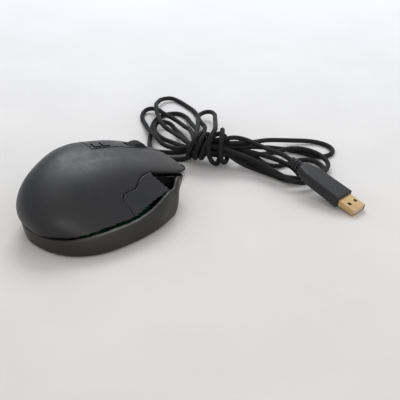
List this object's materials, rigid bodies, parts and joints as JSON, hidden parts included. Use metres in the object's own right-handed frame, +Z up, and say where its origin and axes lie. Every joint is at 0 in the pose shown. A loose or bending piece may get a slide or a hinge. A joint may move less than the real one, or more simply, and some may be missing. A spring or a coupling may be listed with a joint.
{
  "type": "computer mouse",
  "caption": "Right-handed corded mouse with a humped palm shell, two flexing buttons, a scroll wheel, a side thumb keypad and a braided lead tied in a loose hank with a USB plug.",
  "frame": {"origin": "on the desk surface, under the middle of the mouse's own box (the lead and plug left out)", "axes": "+Y from the heel to the button tips, +X to the ring finger's side, +Z up from the desk"},
  "size_m": [0.2173, 0.2318, 0.0428],
  "materials": {
    "soft_touch_plastic": "soft-touch matte black with light handling wear",
    "key_plastic": "satin black",
    "wheel_rubber": "matte notched rubber",
    "dark_plastic": "moulded, plain",
    "moulded_rubber": "satin overmould",
    "braided_cord": "fine nylon braid",
    "gold_plate": "gold-plated, satin",
    "white_plastic": "moulded insulator",
    "circuit_board": "solder mask",
    "glide_ptfe": "low-friction glide",
    "clear_lens": "clear moulded lens",
    "steel": "plated"
  },
  "bodies": {
    "casing": {"base_shell": "soft_touch_plastic", "board_chips": "dark_plastic", "board_screws": "steel", "cable_connector": "white_plastic", "cable_gland": "moulded_rubber", "case_screws": "steel", "click_switches": "dark_plastic", "cord_hank": "braided_cord", "cord_lead": "braided_cord", "cord_tail": "braided_cord", "front_grille": "soft_touch_plastic", "glide_feet": "glide_ptfe", "inner_lead": "braided_cord", "main_board": "circuit_board", "optical_sensor": "dark_plastic", "palm_shell": "soft_touch_plastic", "plug_overmould": "moulded_rubber", "plug_strain_relief": "moulded_rubber", "ring_finger_panel": "soft_touch_plastic", "sensor_lens": "clear_lens", "spine_cover": "soft_touch_plastic", "thumb_board": "circuit_board", "thumb_panel": "soft_touch_plastic", "thumb_switches": "dark_plastic", "usb_contacts": "gold_plate", "usb_shell": "gold_plate", "usb_tongue": "white_plastic", "wheel_bracket": "dark_plastic", "wheel_switch": "dark_plastic"},
    "left_button": {"left_button": "soft_touch_plastic"},
    "right_button": {"right_button": "soft_touch_plastic"},
    "rear_top_key": {"rear_top_key": "soft_touch_plastic"},
    "front_top_key": {"front_top_key": "soft_touch_plastic"},
    "wheel_carrier": {"wheel_carrier": "dark_plastic", "wheel_encoder": "dark_plastic"},
    "wheel": {"wheel_hub": "dark_plastic", "wheel_tyre": "wheel_rubber", "wheel_axle": "steel"},
    "thumb_key_01": {"thumb_key_01": "key_plastic"},
    "thumb_key_02": {"thumb_key_02": "key_plastic"},
    "thumb_key_03": {"thumb_key_03": "key_plastic"},
    "thumb_key_04": {"thumb_key_04": "key_plastic"},
    "thumb_key_05": {"thumb_key_05": "key_plastic"},
    "thumb_key_06": {"thumb_key_06": "key_plastic"},
    "thumb_key_07": {"thumb_key_07": "key_plastic"},
    "thumb_key_08": {"thumb_key_08": "key_plastic"},
    "thumb_key_09": {"thumb_key_09": "key_plastic"},
    "thumb_key_10": {"thumb_key_10": "key_plastic"},
    "thumb_key_11": {"thumb_key_11": "key_plastic"},
    "thumb_key_12": {"thumb_key_12": "key_plastic"}
  },
  "joints": [
    {"name": "left_button_click", "type": "hinge", "parent": "casing", "child": "left_button", "pos_m": [-0.026, 0.003, 0.038], "axis": [1, 0, 0], "range_deg": [-0.75, 0], "stiffness_Nm_per_rad": 2.2},
    {"name": "right_button_click", "type": "hinge", "parent": "casing", "child": "right_button", "pos_m": [0.006, 0.003, 0.037], "axis": [1, 0, 0], "range_deg": [-0.75, 0], "stiffness_Nm_per_rad": 2.2},
    {"name": "rear_top_key_click", "type": "slide", "parent": "casing", "child": "rear_top_key", "axis": [0, 0, -1], "range_m": [0, 0.0005], "stiffness_N_per_m": 1200},
    {"name": "front_top_key_click", "type": "slide", "parent": "casing", "child": "front_top_key", "axis": [0, 0, -1], "range_m": [0, 0.0005], "stiffness_N_per_m": 1200},
    {"name": "wheel_click", "type": "slide", "parent": "casing", "child": "wheel_carrier", "axis": [0, 0, -1], "range_m": [0, 0.0006], "stiffness_N_per_m": 1500},
    {"name": "wheel_spin", "type": "hinge", "parent": "wheel_carrier", "child": "wheel", "pos_m": [-0.016, 0.0365, 0.0243], "axis": [1, 0, 0], "continuous": true},
    {"name": "thumb_key_01_click", "type": "slide", "parent": "casing", "child": "thumb_key_01", "axis": [0.9781, 0.2079, 0], "range_m": [0, 0.0006], "stiffness_N_per_m": 1000},
    {"name": "thumb_key_02_click", "type": "slide", "parent": "casing", "child": "thumb_key_02", "axis": [0.9781, 0.2079, 0], "range_m": [0, 0.0006], "stiffness_N_per_m": 1000},
    {"name": "thumb_key_03_click", "type": "slide", "parent": "casing", "child": "thumb_key_03", "axis": [0.9781, 0.2079, 0], "range_m": [0, 0.0006], "stiffness_N_per_m": 1000},
    {"name": "thumb_key_04_click", "type": "slide", "parent": "casing", "child": "thumb_key_04", "axis": [0.9962, 0.0872, 0], "range_m": [0, 0.0006], "stiffness_N_per_m": 1000},
    {"name": "thumb_key_05_click", "type": "slide", "parent": "casing", "child": "thumb_key_05", "axis": [0.9962, 0.0872, 0], "range_m": [0, 0.0006], "stiffness_N_per_m": 1000},
    {"name": "thumb_key_06_click", "type": "slide", "parent": "casing", "child": "thumb_key_06", "axis": [0.9962, 0.0872, 0], "range_m": [0, 0.0006], "stiffness_N_per_m": 1000},
    {"name": "thumb_key_07_click", "type": "slide", "parent": "casing", "child": "thumb_key_07", "axis": [1, 0, 0], "range_m": [0, 0.0006], "stiffness_N_per_m": 1000},
    {"name": "thumb_key_08_click", "type": "slide", "parent": "casing", "child": "thumb_key_08", "axis": [1, 0, 0], "range_m": [0, 0.0006], "stiffness_N_per_m": 1000},
    {"name": "thumb_key_09_click", "type": "slide", "parent": "casing", "child": "thumb_key_09", "axis": [1, 0, 0], "range_m": [0, 0.0006], "stiffness_N_per_m": 1000},
    {"name": "thumb_key_10_click", "type": "slide", "parent": "casing", "child": "thumb_key_10", "axis": [0.9994, -0.0349, 0], "range_m": [0, 0.0006], "stiffness_N_per_m": 1000},
    {"name": "thumb_key_11_click", "type": "slide", "parent": "casing", "child": "thumb_key_11", "axis": [0.9994, -0.0349, 0], "range_m": [0, 0.0006], "stiffness_N_per_m": 1000},
    {"name": "thumb_key_12_click", "type": "slide", "parent": "casing", "child": "thumb_key_12", "axis": [0.9994, -0.0349, 0], "range_m": [0, 0.0006], "stiffness_N_per_m": 1000}
  ]
}
